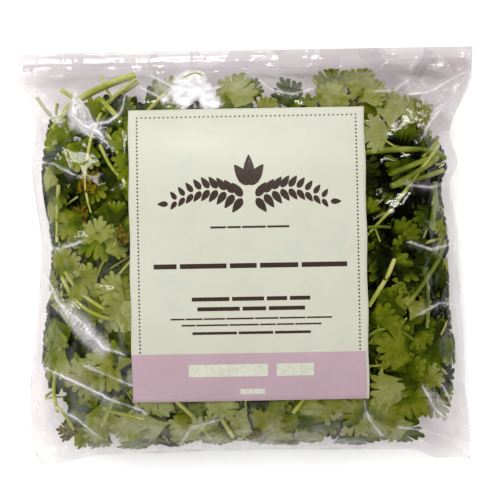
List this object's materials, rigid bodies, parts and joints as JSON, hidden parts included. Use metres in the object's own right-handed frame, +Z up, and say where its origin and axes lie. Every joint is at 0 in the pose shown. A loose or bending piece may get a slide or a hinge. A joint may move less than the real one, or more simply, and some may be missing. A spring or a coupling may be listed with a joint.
{
  "type": "bag of coriander",
  "caption": "Clear zip-top film bag, filled like a pillow with loose cut coriander sprigs, lying on its back with a plain paper label on its upper face.",
  "frame": {"origin": "centre of the bag's footprint, on the surface that the bag lies on", "axes": "+X across the bag along its zip, +Y from its bottom fold to its zip, +Z up through its label"},
  "size_m": [0.26, 0.2342, 0.0613],
  "materials": {
    "clear_film": "gloss",
    "zip_plastic": "satin",
    "label_paper": "satin",
    "coriander_green": "satin"
  },
  "bodies": {
    "root": {"bag_film": "clear_film", "zip_groove_track": "zip_plastic", "zip_rib_track": "zip_plastic", "label": "label_paper", "coriander_sprig_01": "coriander_green", "coriander_sprig_02": "coriander_green", "coriander_sprig_03": "coriander_green", "coriander_sprig_04": "coriander_green", "coriander_sprig_05": "coriander_green", "coriander_sprig_06": "coriander_green", "coriander_sprig_07": "coriander_green", "coriander_sprig_08": "coriander_green", "coriander_sprig_09": "coriander_green", "coriander_sprig_10": "coriander_green", "coriander_sprig_11": "coriander_green", "coriander_sprig_12": "coriander_green", "coriander_sprig_13": "coriander_green", "coriander_sprig_14": "coriander_green", "coriander_sprig_15": "coriander_green", "coriander_sprig_16": "coriander_green", "coriander_sprig_17": "coriander_green", "coriander_sprig_18": "coriander_green", "coriander_sprig_19": "coriander_green", "coriander_sprig_20": "coriander_green", "coriander_sprig_21": "coriander_green", "coriander_sprig_22": "coriander_green", "coriander_sprig_23": "coriander_green", "coriander_sprig_24": "coriander_green", "coriander_sprig_25": "coriander_green", "coriander_sprig_26": "coriander_green", "coriander_sprig_27": "coriander_green", "coriander_sprig_28": "coriander_green", "coriander_sprig_29": "coriander_green", "coriander_sprig_30": "coriander_green", "coriander_sprig_31": "coriander_green", "coriander_sprig_32": "coriander_green"}
  },
  "joints": []
}
